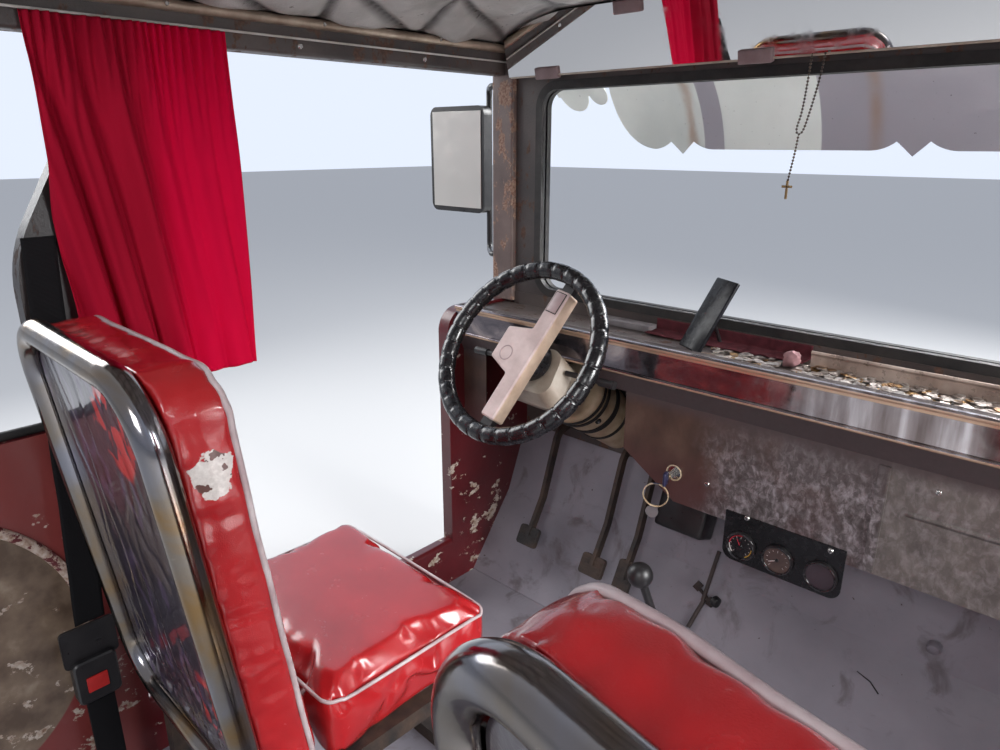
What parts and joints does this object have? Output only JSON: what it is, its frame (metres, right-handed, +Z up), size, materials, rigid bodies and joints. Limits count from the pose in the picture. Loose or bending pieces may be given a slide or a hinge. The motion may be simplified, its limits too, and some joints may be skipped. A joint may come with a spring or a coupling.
{
  "type": "jeepney driver's cab",
  "caption": "Front cab of a jeepney: floor, dash, windscreen, roof, two tube-backed seats and a steering wheel that turns.",
  "frame": {"origin": "centre of the four body bolts, on the underside of the floor frame", "axes": "+X the vehicle's right, +Y forward, +Z up"},
  "size_m": [2.25, 1.551, 1.572],
  "materials": {
    "frame_black": "satin black paint",
    "floor_grey": "worn pale grey paint",
    "body_maroon": "chipped maroon paint",
    "galvanised": "blotchy aged zinc",
    "trim_black": "dull black paint",
    "rusty_paint": "rust brown paint",
    "roof_paint": "gloss red paint",
    "liner_grey": "quilted grey vinyl",
    "glass": "clear",
    "rubber": "matt black",
    "mirror": "silvered",
    "polished": "polished stainless",
    "chrome": "polished tube",
    "black_plastic": "matt",
    "beige_plastic": "satin",
    "pad_plastic": "satin",
    "red_vinyl": "glossy red vinyl",
    "print_board": "dark printed cloth under clear vinyl",
    "red_cloth": "matt red cloth",
    "webbing": "woven black",
    "steel": "dull steel"
  },
  "bodies": {
    "cab": {"belt_buckle": "black_plastic", "belt_webbing": "webbing", "column_cover": "beige_plastic", "column_shroud": "beige_plastic", "column_stalks": "black_plastic", "cowl_sides": "body_maroon", "cowl_top": "body_maroon", "curtain_wires": "steel", "curtains": "red_cloth", "dash_band": "polished", "dash_panel": "galvanised", "dash_tray": "trim_black", "door_sills": "body_maroon", "driver_back_board": "print_board", "driver_back_cushion": "red_vinyl", "driver_back_loop": "chrome", "driver_seat_base": "frame_black", "driver_seat_cushion": "red_vinyl", "firewall": "galvanised", "floor_frame": "frame_black", "floor_panel": "floor_grey", "front_pillars": "rusty_paint", "front_visor": "polished", "gauge_bracket": "black_plastic", "gauges": "black_plastic", "gear_boot": "rubber", "gear_lever": "steel", "header_mirror": "mirror", "ignition_switch": "steel", "mirror_arms": "chrome", "mirror_heads": "chrome", "panel_seam": "rusty_paint", "passenger_back_board": "print_board", "passenger_back_cushion": "red_vinyl", "passenger_back_loop": "chrome", "passenger_seat_base": "frame_black", "passenger_seat_cushion": "red_vinyl", "pedals": "steel", "rear_posts": "trim_black", "roof_bows": "frame_black", "roof_header": "trim_black", "roof_liner": "liner_grey", "roof_rails": "trim_black", "roof_skin": "roof_paint", "side_panels": "body_maroon", "steering_column": "frame_black", "toe_board": "floor_grey", "tray_guard": "polished", "windscreen_bars": "trim_black", "windscreen_glass": "glass", "windscreen_seal": "rubber"},
    "steering_wheel": {"steering_wheel": "black_plastic", "horn_pad": "pad_plastic"}
  },
  "joints": [
    {"name": "steering", "type": "hinge", "parent": "cab", "child": "steering_wheel", "pos_m": [-0.497, 0.296, 0.811], "axis": [0, -0.8151, 0.5793], "range_deg": [-799, 641]}
  ]
}
